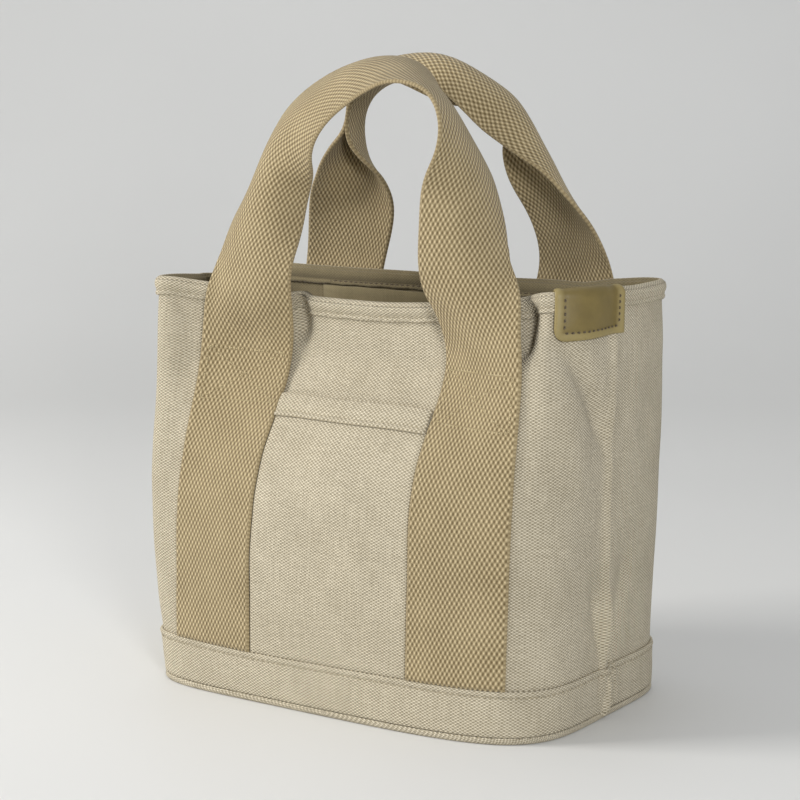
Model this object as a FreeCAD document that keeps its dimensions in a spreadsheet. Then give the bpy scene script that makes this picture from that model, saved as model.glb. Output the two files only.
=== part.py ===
import FreeCAD, Part
import Sketcher
import math
import os

# Small canvas bucket tote with two webbing handles.
# X runs across the front, -Y is the front, +Z is up. The origin is the middle of the base, on the
# surface that the bag stands on. Millimetres.

DOC = FreeCAD.newDocument("canvas_tote")
SIZES = DOC.addObject("Spreadsheet::Sheet", "Sizes")

# The wall's plan at seven heights: a rounded rectangle of this half width, half depth and corner.
# The front and back are upright up to half way, lean in, and are upright again at the rim.
WALL_LEVELS = [
    # height, half width, half depth, corner radius
    (0.0, 113.0, 72.0, 34.0),
    (60.0, 113.2, 70.5, 34.0),
    (100.0, 113.8, 67.5, 33.0),
    (125.0, 114.3, 61.5, 31.0),
    (145.0, 114.7, 52.5, 27.0),
    (165.0, 115.2, 43.5, 23.0),
    (212.0, 116.6, 41.0, 20.0),
]

DIMENSIONS = [
    ("rim_height", 206.0, "top edge of the canvas wall"),
    ("canvas", 1.6, "thickness of the wall canvas"),
    ("cloth", 1.2, "thickness of bands, bindings, pockets and tapes"),
    ("layer_gap", 0.1, "room between two layers sewn together"),
    ("base_thickness", 1.6, "canvas base"),
    ("lip_height", 3.4, "edge of the base, turned up round the foot"),
    ("board_thickness", 2.4, "stiffener in the base"),
    ("board_margin", 4.0, "room between the stiffener and the wall"),
    ("band_bottom", 3.6, "lower edge of the foot band"),
    ("band_top", 25.5, "upper edge of the foot band"),
    ("binding_depth", 9.5, "how far the rim binding reaches down the wall"),
    ("webbing_width", 50.0, "width of the webbing"),
    ("webbing", 2.1, "thickness of the webbing"),
    ("strap_offset", 71.0, "middle of each strap from the middle of the bag"),
    ("hinge_height", 175.0, "line about which each free loop folds outwards"),
    ("hinge_depth", 45.6, "the same line, out from the middle of the bag"),
    ("hinge_room", 1.5, "room from that line to the sewn strap and to the loop"),
    ("pocket_mouth", 150.0, "upper edge of the front pocket"),
    ("hem_depth", 10.0, "doubled strip at the pocket's mouth"),
    ("pocket_half_width", 45.7, "half the pocket, which ends at the straps"),
    ("box_bottom", 145.0, "lower row of the box stitch"),
    ("box_top", 171.5, "upper row of the box stitch"),
    ("box_inset", 4.0, "box stitch from the strap's selvedge"),
    ("thread", 0.8, "width of a row of thread"),
    ("thread_height", 0.5, "how far a row of thread stands out"),
    ("tab_length", 38.0, "leather tab along the rim, from the side seam forwards"),
    ("tab_bottom", 184.0, "lower edge of the leather tab"),
    ("leather", 1.8, "thickness of the leather"),
    ("tab_inset", 4.0, "tab stitching from the leather's edge"),
    ("tape_half_width", 5.0, "half the tape over each side seam, inside"),
    ("inner_pocket_half_width", 76.0, "half the slip pocket inside"),
    ("inner_pocket_bottom", 98.0, "lower edge of the slip pocket inside"),
    ("handle_top", 314.5, "top of the loop's centre line"),
    ("twist_start", 212.5, "height over which the webbing leans in and turns"),
    ("handle_top_depth", 27.0, "loop's middle at its top, out from the middle of the bag"),
    ("crown_width", 38.0, "width of the rolled webbing at the top of a loop"),
    ("crown_thickness", 5.0, "thickness of the rolled webbing at the top of a loop"),
]


def fill_sheet():
    """Put every driving dimension in the sheet under its own name."""
    rows = [("height_%d", 0), ("half_width_%d", 1), ("half_depth_%d", 2), ("corner_%d", 3)]
    entries = list(DIMENSIONS)
    for level, values in enumerate(WALL_LEVELS):
        entries += [(name % level, values[column], "wall plan") for name, column in rows]
    for row, (alias, value, note) in enumerate(entries, start=1):
        SIZES.set("A%d" % row, note)
        SIZES.set("B%d" % row, str(value))
        SIZES.setAlias("B%d" % row, alias)
    DOC.recompute()


def size(expression):
    """The value of an expression over the sheet, as a number."""
    return float(SIZES.evalExpression(expression))


def draw_rounded_rectangle(sketch, half_x, half_y, corner):
    """Fill a sketch with a rounded rectangle about its origin, bound to three expressions."""
    x, y, r = size(half_x), size(half_y), size(corner)
    vector = FreeCAD.Vector
    up = vector(0, 0, 1)
    ends = [((r - x, -y), (x - r, -y)), ((x, r - y), (x, y - r)),
            ((x - r, y), (r - x, y)), ((-x, y - r), (-x, r - y))]
    centres = [(x - r, r - y), (x - r, y - r), (r - x, y - r), (r - x, r - y)]
    for side, (start, stop) in enumerate(ends):
        sketch.addGeometry(Part.LineSegment(vector(*start, 0), vector(*stop, 0)), False)
        circle = Part.Circle(vector(*centres[side], 0), up, r)
        first = (side - 1) * math.pi / 2
        sketch.addGeometry(Part.ArcOfCircle(circle, first, first + math.pi / 2), False)
    constraint = Sketcher.Constraint
    for side in range(4):
        line, arc, following = 2 * side, 2 * side + 1, (2 * side + 2) % 8
        sketch.addConstraint(constraint("Tangent", line, 2, arc, 1))
        sketch.addConstraint(constraint("Tangent", arc, 2, following, 1))
        sketch.addConstraint(constraint("Horizontal" if side % 2 == 0 else "Vertical", line))
    for arc in (3, 5, 7):
        sketch.addConstraint(constraint("Equal", 1, arc))
    bound = [
        (constraint("Radius", 1, r), corner),
        (constraint("DistanceX", -1, 1, 2, 1, x), half_x),
        (constraint("DistanceX", 6, 1, -1, 1, x), half_x),
        (constraint("DistanceY", -1, 1, 4, 1, y), half_y),
        (constraint("DistanceY", 0, 1, -1, 1, y), half_y),
    ]
    for item, expression in bound:
        index = sketch.addConstraint(item)
        sketch.setExpression("Constraints[%d]" % index, expression)


FORMS = {}


def form(grow):
    """Solid with the wall's plan at every level, grown outwards by an expression."""
    if grow in FORMS:
        return FORMS[grow]
    number = len(FORMS)
    sections = []
    for level in range(len(WALL_LEVELS)):
        sketch = DOC.addObject("Sketcher::SketchObject", "plan_%d_%d" % (number, level))
        draw_rounded_rectangle(
            sketch,
            "Sizes.half_width_%d + %s" % (level, grow),
            "Sizes.half_depth_%d + %s" % (level, grow),
            "Sizes.corner_%d + %s" % (level, grow),
        )
        sketch.setExpression("Placement.Base.z", "Sizes.height_%d" % level)
        sections.append(sketch)
    loft = DOC.addObject("Part::Loft", "form_%d" % number)
    loft.Sections = sections
    loft.Solid = True
    loft.Ruled = True
    FORMS[grow] = loft
    return loft


def cut(name, base, tool):
    result = DOC.addObject("Part::Cut", name)
    result.Base = base
    result.Tool = tool
    return result


def common(name, base, tool):
    result = DOC.addObject("Part::Common", name)
    result.Base = base
    result.Tool = tool
    return result


def fuse(name, shapes):
    result = DOC.addObject("Part::MultiFuse", name)
    result.Shapes = shapes
    return result


def layer(name, outside, inside):
    """Sheet of even thickness that follows the wall, between two growths."""
    return cut(name, form(outside), form(inside))


def block(name, x, y, z):
    """Box from pairs of expressions, its low and high side along each axis."""
    box = DOC.addObject("Part::Box", name)
    for axis, edge, (low, high) in zip("xyz", ("Length", "Width", "Height"), (x, y, z)):
        box.setExpression("Placement.Base.%s" % axis, low)
        box.setExpression(edge, "(%s) - (%s)" % (high, low))
    return box


FAR = "150"
NEAR = "10"
ALL_X = ("-" + FAR, FAR)
FRONT_Y = ("-" + FAR, "-" + NEAR)
BACK_Y = (NEAR, FAR)
WALL_IN = "(-Sizes.canvas)"
SKIN_LOW = "Sizes.layer_gap"
SKIN_HIGH = "(Sizes.layer_gap + Sizes.cloth)"
SECOND_LOW = "(2 * Sizes.layer_gap + Sizes.cloth)"
LINING_HIGH = "(-Sizes.canvas - Sizes.layer_gap)"
LINING_LOW = "(-Sizes.canvas - Sizes.layer_gap - Sizes.cloth)"
WEBBING_HIGH = "(Sizes.layer_gap + Sizes.webbing)"
BINDING_TOP = "Sizes.rim_height + Sizes.layer_gap + Sizes.cloth"
STRAP_TOP = "Sizes.hinge_height - Sizes.hinge_room"
LOOP_ROOT = "Sizes.hinge_height + Sizes.hinge_room"
LOOP_ROOT_DEPTH = "Sizes.hinge_depth - Sizes.webbing / 2"
KEPT = []


def keep(piece, label):
    """Name a finished sub-part."""
    piece.Label = label
    KEPT.append(piece)


def keep_halves(whole, name, low, high):
    """Split a closed ring at the side seams into a front and a back piece."""
    for side, span in (("front", ("-" + FAR, "0")), ("back", ("0", FAR))):
        room = block("room_%s_%s" % (name, side), ALL_X, span, (low, high))
        keep(common("made_%s_%s" % (name, side), whole, room), name % side)


def make_wall():
    """Front and back canvas, sewn to each other down the middle of each side."""
    ring = layer("wall_ring", "0", WALL_IN)
    keep_halves(ring, "%s_panel", "Sizes.base_thickness + Sizes.layer_gap", "Sizes.rim_height")


def plan_sketch(body, name, half_x, half_y, corner, height):
    """Rounded rectangle in a body, level with a height."""
    sketch = body.newObject("Sketcher::SketchObject", name)
    level = [item for item in body.Origin.OriginFeatures if item.Role == "XY_Plane"][0]
    sketch.AttachmentSupport = [(level, "")]
    sketch.MapMode = "FlatFace"
    sketch.setExpression("AttachmentOffset.Base.z", height)
    draw_rounded_rectangle(sketch, half_x, half_y, corner)
    return sketch


def make_base():
    """Canvas base with its edge turned up round the foot, and the stiffener that lies in it."""
    body = DOC.addObject("PartDesign::Body", "base_panel_body")
    grown = ["Sizes.half_width_0 + %s", "Sizes.half_depth_0 + %s", "Sizes.corner_0 + %s"]
    pad = body.newObject("PartDesign::Pad", "base_pad")
    pad.Profile = plan_sketch(body, "base_plan", *[item % SKIN_HIGH for item in grown], "0")
    pad.setExpression("Length", "Sizes.lip_height")
    hollow = body.newObject("PartDesign::Pocket", "base_hollow")
    hollow.Profile = plan_sketch(
        body, "hollow_plan", *[item % SKIN_LOW for item in grown], "Sizes.lip_height")
    hollow.setExpression("Length", "Sizes.lip_height - Sizes.base_thickness")
    DOC.recompute()
    if hollow.Shape.Volume >= pad.Shape.Volume:
        raise RuntimeError("the base is not hollowed")
    keep(body, "base_panel")

    body = DOC.addObject("PartDesign::Body", "base_board_body")
    inset = "(-Sizes.canvas - Sizes.board_margin)"
    pad = body.newObject("PartDesign::Pad", "board_pad")
    pad.Profile = plan_sketch(
        body, "board_plan", *[item % inset for item in grown],
        "Sizes.base_thickness + Sizes.layer_gap")
    pad.setExpression("Length", "Sizes.board_thickness")
    keep(body, "base_board")


def make_foot_band():
    """Second canvas layer round the foot."""
    ring = layer("band_ring", SKIN_HIGH, SKIN_LOW)
    keep_halves(ring, "bottom_band_%s", "Sizes.band_bottom", "Sizes.band_top")


def folded_over_rim(name, outside, inside, core_outside, core_inside, core_top):
    """Sheet folded over the top edge: a thick ring less what it is folded round."""
    thick = layer(name + "_thick", outside, inside)
    core = layer(name + "_core", core_outside, core_inside)
    core_room = block(name + "_core_room", ALL_X, ALL_X, ("0", core_top))
    return cut(name, thick, common(name + "_inside", core, core_room))


def make_rim():
    """Canvas strip folded over the top edge of the wall."""
    ring = folded_over_rim(
        "binding_ring", SKIN_HIGH, LINING_LOW, SKIN_LOW, LINING_HIGH,
        "Sizes.rim_height + Sizes.layer_gap")
    keep_halves(ring, "rim_binding_%s", "Sizes.rim_height - Sizes.binding_depth", BINDING_TOP)


def make_tab():
    """Leather tab folded over the rim, forward of the right side seam, and its thread."""
    inside = "(-Sizes.canvas - Sizes.cloth - 2 * Sizes.layer_gap)"
    ring = folded_over_rim(
        "tab_ring", "(%s + Sizes.leather)" % SECOND_LOW, "(%s - Sizes.leather)" % inside,
        SECOND_LOW, inside, BINDING_TOP + " + Sizes.layer_gap")
    side = ("104", FAR)
    room = block(
        "tab_room", side, ("-Sizes.tab_length", "0"),
        ("Sizes.tab_bottom", BINDING_TOP + " + Sizes.layer_gap + Sizes.leather"))
    keep(common("tab_made", ring, room), "side_tab")

    face = "(%s + Sizes.leather + Sizes.layer_gap)" % SECOND_LOW
    rows = layer("tab_thread_layer", "(%s + Sizes.thread_height)" % face, face)
    front = "-Sizes.tab_length + Sizes.tab_inset"
    rear = "-Sizes.tab_inset"
    low = "Sizes.tab_bottom + Sizes.tab_inset"
    high = "Sizes.rim_height"
    marks = [
        block("tab_row_front", side, (front, front + " + Sizes.thread"), (low, high)),
        block("tab_row_rear", side, (rear + " - Sizes.thread", rear), (low, high)),
        block("tab_row_low", side, (front, rear), (low, low + " + Sizes.thread")),
    ]
    pattern = fuse("tab_pattern", marks)
    keep(common("tab_thread_made", rows, pattern), "tab_stitches")


def make_front_pocket():
    """Patch pocket between the front straps, with a doubled strip along its mouth."""
    span = ("-Sizes.pocket_half_width", "Sizes.pocket_half_width")
    low = "Sizes.band_top + Sizes.layer_gap"
    sheet = layer("pocket_layer", SKIN_HIGH, SKIN_LOW)
    room = block("pocket_room", span, FRONT_Y, (low, "Sizes.pocket_mouth"))
    keep(common("pocket_made", sheet, room), "front_pocket")
    sheet = layer("hem_layer", "(%s + Sizes.cloth)" % SECOND_LOW, SECOND_LOW)
    room = block(
        "hem_room", span, FRONT_Y, ("Sizes.pocket_mouth - Sizes.hem_depth", "Sizes.pocket_mouth"))
    keep(common("hem_made", sheet, room), "pocket_hem")


def make_inner_pocket():
    """Slip pocket on the inside of the back."""
    span = ("-Sizes.inner_pocket_half_width", "Sizes.inner_pocket_half_width")
    high = "Sizes.rim_height - Sizes.binding_depth - Sizes.layer_gap"
    sheet = layer("inner_layer", LINING_HIGH, LINING_LOW)
    room = block("inner_room", span, BACK_Y, ("Sizes.inner_pocket_bottom", high))
    keep(common("inner_made", sheet, room), "inner_pocket")


def make_seam_tapes():
    """Tape over the raw edges of each side seam, inside."""
    sheet = layer("tape_layer", LINING_HIGH, LINING_LOW)
    low = "Sizes.base_thickness + Sizes.board_thickness + 2 * Sizes.layer_gap"
    high = "Sizes.rim_height - Sizes.binding_depth - Sizes.layer_gap"
    across = ("-Sizes.tape_half_width", "Sizes.tape_half_width")
    for side, span in (("left", ("-" + FAR, "-" + NEAR)), ("right", (NEAR, FAR))):
        room = block("tape_room_" + side, span, across, (low, high))
        keep(common("tape_made_" + side, sheet, room), "seam_tape_" + side)


def make_straps():
    """Sewn runs of the four straps, from the foot band to the box stitch."""
    sheet = layer("strap_layer", WEBBING_HIGH, SKIN_LOW)
    low = "Sizes.band_top + Sizes.layer_gap"
    half = "Sizes.webbing_width / 2"
    for face, depth in (("front", FRONT_Y), ("back", BACK_Y)):
        for side, middle in (("left", "-Sizes.strap_offset"), ("right", "Sizes.strap_offset")):
            name = "%s_strap_%s" % (face, side)
            span = ("%s - %s" % (middle, half), "%s + %s" % (middle, half))
            room = block(name + "_room", span, depth, (low, STRAP_TOP))
            keep(common(name + "_made", sheet, room), name)


def make_box_stitches():
    """Rows of thread that hold the four straps: a box with a cross in each."""
    base = "(Sizes.layer_gap + Sizes.webbing + Sizes.layer_gap)"
    rows = layer("thread_layer", "(%s + Sizes.thread_height)" % base, base)
    half = "(Sizes.webbing_width / 2 - Sizes.box_inset)"
    rise = "(Sizes.box_top - Sizes.box_bottom)"
    marks = []
    for side, middle in (("left", "-Sizes.strap_offset"), ("right", "Sizes.strap_offset")):
        outer = ("%s - %s" % (middle, half), "%s + %s" % (middle, half))
        for number, edge in enumerate(("Sizes.box_bottom", "Sizes.box_top - Sizes.thread")):
            marks.append(block(
                "row_%s_%d" % (side, number), outer, ALL_X, (edge, edge + " + Sizes.thread")))
        for number, edge in enumerate((outer[0], outer[1] + " - Sizes.thread")):
            marks.append(block(
                "post_%s_%d" % (side, number), (edge, edge + " + Sizes.thread"), ALL_X,
                ("Sizes.box_bottom", "Sizes.box_top")))
        for number, sense in enumerate(("", "-")):
            length = "sqrt((2 * %s)^2 + %s^2) - 2 * Sizes.thread" % (half, rise)
            brace = DOC.addObject("Part::Box", "brace_%s_%d" % (side, number))
            brace.setExpression("Length", length)
            brace.setExpression("Width", "2 * " + FAR)
            brace.setExpression("Height", "Sizes.thread")
            angle = math.atan2(size(rise), 2 * size(half)) * (-1 if sense else 1)
            turn = FreeCAD.Rotation(FreeCAD.Vector(0, 1, 0), -math.degrees(angle))
            centre = FreeCAD.Vector(size(middle), 0, size("(Sizes.box_top + Sizes.box_bottom) / 2"))
            half_size = FreeCAD.Vector(size(length), 2 * float(FAR), size("Sizes.thread")) * 0.5
            brace.Placement = FreeCAD.Placement(centre - turn.multVec(half_size), turn)
            marks.append(brace)
    pattern = fuse("box_pattern", marks)
    keep(common("box_thread_made", rows, pattern), "strap_box_stitches")


def handle_section(angle, front):
    """One cross-section of a webbing loop, as a closed wire.

    The loop is half an ellipse. The webbing faces outwards at both ends. Above the rim it leans
    in and makes a quarter turn up each leg, so it lies across the hand at the top, rolled narrower.
    """
    lift = math.sin(angle)
    root = size(LOOP_ROOT)
    rise = size("Sizes.handle_top") - root
    height = root + rise * lift
    over_rim = max(0.0, height - size("Sizes.twist_start"))
    share = over_rim / (size("Sizes.handle_top") - size("Sizes.twist_start"))
    root_depth = size(LOOP_ROOT_DEPTH)
    depth = root_depth - (root_depth - size("Sizes.handle_top_depth")) * share ** 1.3
    middle = FreeCAD.Vector(size("Sizes.strap_offset") * math.cos(angle), front * depth, height)
    outward = FreeCAD.Vector(rise * math.cos(angle), 0, size("Sizes.strap_offset") * lift)
    outward.normalize()
    inward = FreeCAD.Vector(0, -front, 0)
    turn = math.pi / 2 * share
    if angle > math.pi / 2:
        turn = math.pi - turn
    across = outward * math.cos(turn) + inward * math.sin(turn)
    through = inward * math.cos(turn) - outward * math.sin(turn)
    rolled = lift ** 3
    width = size("Sizes.webbing_width") * (1 - rolled) + size("Sizes.crown_width") * rolled
    thick = size("Sizes.webbing") * (1 - rolled) + size("Sizes.crown_thickness") * rolled
    corners = []
    for along, over in ((-1, -1), (1, -1), (1, 1), (-1, 1), (-1, -1)):
        corners.append(middle + across * (along * width / 2) + through * (over * thick / 2))
    return Part.makePolygon(corners)


def make_handles():
    """The two free loops of webbing, which fold outwards about the top of their sewn runs."""
    steps = 24
    for name, front in (("front_handle", -1), ("back_handle", 1)):
        wires = [handle_section(math.pi * step / steps, front) for step in range(steps + 1)]
        loop = DOC.addObject("Part::Feature", name + "_loop")
        loop.Shape = Part.makeLoft(wires, True, True)
        keep(loop, name)


def write_parts():
    """Check every object, then write each sub-part to its own file."""
    DOC.recompute()
    for item in DOC.Objects:
        if "Invalid" in item.State or "Error" in item.State:
            raise RuntimeError("%s failed: %s" % (item.Name, item.State))
    os.makedirs("parts", exist_ok=True)
    for piece in KEPT:
        shape = piece.Shape
        if shape.isNull() or not shape.isValid() or shape.Volume <= 0:
            raise RuntimeError("%s has no valid solid" % piece.Label)
        shape.exportStep("parts/%s.step" % piece.Label)
        box = shape.optimalBoundingBox()
        print("%-20s %2d solid(s) %10.0f mm3  x %.1f %.1f  y %.1f %.1f  z %.1f %.1f" % (
            piece.Label, len(shape.Solids), shape.Volume,
            box.XMin, box.XMax, box.YMin, box.YMax, box.ZMin, box.ZMax))


fill_sheet()
make_wall()
make_base()
make_foot_band()
make_rim()
make_tab()
make_front_pocket()
make_inner_pocket()
make_seam_tapes()
make_straps()
make_box_stitches()
make_handles()
write_parts()
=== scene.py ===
import math

import bmesh
import bpy
import numpy as np
from mathutils import Matrix, Vector


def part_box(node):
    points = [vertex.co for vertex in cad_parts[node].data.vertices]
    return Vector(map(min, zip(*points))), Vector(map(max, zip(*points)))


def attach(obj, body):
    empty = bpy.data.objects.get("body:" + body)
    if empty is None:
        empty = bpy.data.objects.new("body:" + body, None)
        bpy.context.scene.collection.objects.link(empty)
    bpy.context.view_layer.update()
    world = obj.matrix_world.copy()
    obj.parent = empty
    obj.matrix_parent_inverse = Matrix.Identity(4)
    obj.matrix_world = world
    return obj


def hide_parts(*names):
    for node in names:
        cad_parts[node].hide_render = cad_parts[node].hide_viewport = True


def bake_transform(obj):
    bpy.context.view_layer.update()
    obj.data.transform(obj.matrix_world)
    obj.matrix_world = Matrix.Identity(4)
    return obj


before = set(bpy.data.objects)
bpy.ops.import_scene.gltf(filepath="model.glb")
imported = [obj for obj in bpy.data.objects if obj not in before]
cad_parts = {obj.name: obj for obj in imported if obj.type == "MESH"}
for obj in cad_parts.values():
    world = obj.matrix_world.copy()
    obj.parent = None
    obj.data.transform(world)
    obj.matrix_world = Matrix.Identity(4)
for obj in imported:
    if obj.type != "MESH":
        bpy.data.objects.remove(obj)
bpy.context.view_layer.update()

# Modelling is done in millimetres in the row frame; meshes are scaled to metres as they are made.
MM = 0.001


def node_box(node):
    """Lowest and highest corner of a CAD node, in millimetres."""
    low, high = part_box(node)
    return np.array(low) / MM, np.array(high) / MM


RIM = node_box("front_panel")[1][2]
WALL_LOW = node_box("front_panel")[0][2]
BAND_LOW, BAND_TOP = (node_box("bottom_band_front")[end][2] for end in (0, 1))
POCKET_LOW, POCKET_HIGH = node_box("front_pocket")
HEM_LOW = node_box("pocket_hem")[0][2]
LINING_LOW, LINING_HIGH = node_box("inner_pocket")
STRAP_LOW, STRAP_HIGH = node_box("front_strap_right")
STITCH_LOW, STITCH_HIGH = node_box("strap_box_stitches")
STRAP_MIDDLE = (STRAP_LOW[0] + STRAP_HIGH[0]) / 2
STRAP_HALF = (STRAP_HIGH[0] - STRAP_LOW[0]) / 2
SEWN_TOP = STRAP_HIGH[2] - 1.5

CANVAS = 1.6
CLOTH = 1.2
WEBBING = 2.1
GAP = 0.1
BINDING = 9.5
WALL_SHORT = 1.4  # the wall ends this far under the top of its binding
BAND_ROW, RIM_ROW, HEM_ROW = 3.2, 7.0, 2.2  # rows of thread, from the edge that each one follows
BAND_SHIFT, RIM_SHIFT = 400, 600  # so that no two pieces show the same stretch of the weave
HALF_WALL = 362  # rough length of a half of the wall, for spacing its columns
NEAR_SEAM = 380  # millimetres of wall to one whole half, close to a seam
RIM_PLAN = 200.0  # height at which the rim's plan is taken


# ---- Curves through given values ----

def cubic(share, gap, low, high, low_slope, high_slope):
    """Between two values, with a given slope at each."""
    return ((1 + 2 * share) * (1 - share) ** 2 * low + share * (1 - share) ** 2 * gap * low_slope
            + share * share * (3 - 2 * share) * high + share * share * (share - 1) * gap * high_slope)


def curve(keys, values):
    """Cubic through values at rising keys, without overshoot, flat beyond the ends."""
    keys = np.asarray(keys, float)
    values = np.asarray(values, float).reshape(len(keys), -1)
    gap = np.diff(keys)[:, None]
    rise = np.diff(values, axis=0) / gap
    slope = np.zeros_like(values)
    total = np.where(rise[:-1] + rise[1:] == 0, 1, rise[:-1] + rise[1:])
    slope[1:-1] = np.where(rise[:-1] * rise[1:] > 0, 2 * rise[:-1] * rise[1:] / total, 0)

    def at(x):
        x = np.clip(np.asarray(x, float), keys[0], keys[-1])
        i = np.clip(np.searchsorted(keys, x) - 1, 0, len(keys) - 2)
        w = gap[i, 0][..., None]
        q = (x - keys[i])[..., None] / w
        found = cubic(q, w, values[i], values[i + 1], slope[i], slope[i + 1])
        return found[..., 0] if values.shape[1] == 1 else found

    return at


def spline(keys, values):
    """Natural cubic spline through rows of values at rising keys."""
    keys = np.asarray(keys, float)
    values = np.asarray(values, float)
    count = len(keys)
    gap = np.diff(keys)
    system = np.eye(count)
    right = np.zeros_like(values)
    for i in range(1, count - 1):
        system[i, i - 1:i + 2] = gap[i - 1], 2 * (gap[i - 1] + gap[i]), gap[i]
        right[i] = 6 * ((values[i + 1] - values[i]) / gap[i]
                        - (values[i] - values[i - 1]) / gap[i - 1])
    bend = np.linalg.solve(system, right)

    def at(x):
        x = np.asarray(x, float)
        i = np.clip(np.searchsorted(keys, x) - 1, 0, count - 2)
        a = (keys[i + 1] - x)[:, None]
        b = (x - keys[i])[:, None]
        w = gap[i][:, None]
        return (
            (bend[i] * a ** 3 + bend[i + 1] * b ** 3) / (6 * w)
            + (values[i] / w - bend[i] * w / 6) * a
            + (values[i + 1] / w - bend[i + 1] * w / 6) * b
        )

    return at


def smoothstep(x):
    x = np.clip(x, 0, 1)
    return x * x * (3 - 2 * x)


def hump(x, width):
    return np.exp(-(x / width) ** 2)


# ---- The wall: how the canvas stands. Each half runs from the left seam to the right seam. ----

WIDTH_LEFT = curve((0, 25, 45, 70, 120, 160, 207), (115.8, 117.5, 119, 120, 120.5, 121, 121.5))
WIDTH_RIGHT = curve((0, 25, 70, 120, 160, 207), (114.6, 114.8, 115.2, 116, 117, 118))
ROUND_FRONT_LEFT = curve((0, 25, 45, 70, 207), (6.5, 7.5, 8.5, 9, 10))
ROUND_FRONT_RIGHT = curve((70, 121, 157, 207), (5, 4.8, 4, 3.2))
ROUND_BACK_LEFT = curve((0, 207), (6, 7))
ROUND_BACK_RIGHT = curve((0, 25, 100, 160, 207), (6, 6, 8, 9.5, 11))
COLUMNS = np.array((-117, -96, -46, 0, 46, 96, 115), float)
# Half depth at each column, height by height. Part of the front's numbers come from a fit to the
# photo and not from the builder's hand.
FRONT_DEPTH = curve((0, 25, 70, 100, 121, 139, 157, 172, 188, 207), (
    (68, 68.5, 71, 74, 76, 75.5, 74),
    (67, 67, 72, 73.5, 74, 74, 73.5),
    (68, 65.7, 71.4, 72.5, 72.4, 70.8, 72),
    (68, 63.3, 68.1, 71, 70.8, 68.7, 70),
    (66, 58.7, 60.8, 65, 65.9, 66.6, 68),
    (63, 52.5, 49.1, 53, 56.1, 64.6, 67),
    (60, 45.8, 37.2, 41, 43.1, 62.5, 66),
    (58, 42, 31.3, 33, 34, 60.5, 64),
    (57, 42.5, 33.5, 33, 33, 58, 62),
    (56, 43.5, 38, 36, 37, 56, 60),
))
BACK_DEPTH = curve((0, 70, 100, 121, 139, 157, 172, 207), (
    (72, 72.5, 72.5, 72.5, 72.5, 72.5, 72),
    (71, 71.5, 72, 72.5, 72, 72, 72),
    (70, 69.5, 69, 70, 69, 71, 72),
    (67, 65.5, 63, 65, 63, 68, 71),
    (62, 58.5, 54.5, 57, 54.5, 62, 70),
    (57, 51, 46, 48, 46, 54, 69),
    (54, 46.5, 41.5, 42.5, 41.5, 49, 67),
    (50, 43.5, 40, 38.5, 40, 44, 60),
))
RIM_FRONT = curve((-117, -93, -46, 0, 46, 90, 104, 117),
                  (207, 204.5, 200.5, 199.2, 201.7, 207.7, 210.8, 211))
RIM_BACK = curve((-117, -60, -20, 40, 66, 78, 94, 117),
                 (206.5, 206.2, 206.7, 206.6, 207, 206.7, 209, 210))
LEFT_SHARE = 0.19
RIGHT_SHARE = 0.81


def across(values, x):
    """Smooth interpolation over the depth columns; values has one more axis than x."""
    gap = np.diff(COLUMNS)
    rise = np.diff(values, axis=-1) / gap
    slope = np.concatenate([rise[..., :1], (rise[..., :-1] + rise[..., 1:]) / 2, rise[..., -1:]], -1)
    x = np.clip(x, COLUMNS[0], COLUMNS[-1])
    i = np.clip(np.searchsorted(COLUMNS, x) - 1, 0, len(COLUMNS) - 2)
    w = gap[i]
    q = (x - COLUMNS[i]) / w

    def pick(table, shift=0):
        return np.take_along_axis(table, (i + shift)[..., None], -1)[..., 0]

    return cubic(q, w, pick(values), pick(values, 1), pick(slope), pick(slope, 1))


def roundness(side, z):
    if side > 0:
        return ROUND_BACK_LEFT(z), ROUND_BACK_RIGHT(z)
    return ROUND_FRONT_LEFT(z), ROUND_FRONT_RIGHT(z)


def plan(side, t, z):
    """Outer face of the canvas; side is -1 at the front and 1 at the back."""
    left, right = WIDTH_LEFT(z), WIDTH_RIGHT(z)
    round_left, round_right = roundness(side, z)
    turn_left = 2 ** (-1 / round_left)
    turn_right = 2 ** (-1 / round_right)
    share = (t - LEFT_SHARE) / (RIGHT_SHARE - LEFT_SHARE)
    over = -turn_left + (turn_left + turn_right) * np.clip(share, 0, 1)
    over_round = np.where(over < 0, round_left, round_right)
    at_left = t < LEFT_SHARE
    at_right = t > RIGHT_SHARE
    side_share = np.where(at_left, turn_left * t / LEFT_SHARE,
                          turn_right * (1 - t) / (1 - RIGHT_SHARE))
    side_round = np.where(at_left, round_left, round_right)
    side_over = (1 - np.clip(side_share, 0, 0.999) ** side_round) ** (1 / side_round)
    on_side = at_left | at_right
    out = np.where(on_side, side_share, (1 - np.abs(over) ** over_round) ** (1 / over_round))
    over = np.where(at_left, -side_over, np.where(at_right, side_over, over))
    x = over * np.where(over < 0, left, right)
    depth = across((BACK_DEPTH if side > 0 else FRONT_DEPTH)(z), x)
    return np.stack([x, side * depth * out, z + 0 * x], -1)


def t_of_x(side, x, z):
    """Where along the half a given x lies."""
    left, right = WIDTH_LEFT(z), WIDTH_RIGHT(z)
    round_left, round_right = roundness(side, z)
    over = np.where(x < 0, x / left, x / right)
    turn_left = 2 ** (-1 / round_left)
    turn_right = 2 ** (-1 / round_right)
    flat = LEFT_SHARE + (over + turn_left) / (turn_left + turn_right) * (RIGHT_SHARE - LEFT_SHARE)
    own = np.where(x < 0, round_left, round_right)
    out = (1 - np.clip(np.abs(over), 0, 1) ** own) ** (1 / own)
    t = np.where(over < -turn_left, LEFT_SHARE * out / turn_left, flat)
    return np.where(over > turn_right, 1 - (1 - RIGHT_SHARE) * out / turn_right, t)


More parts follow.
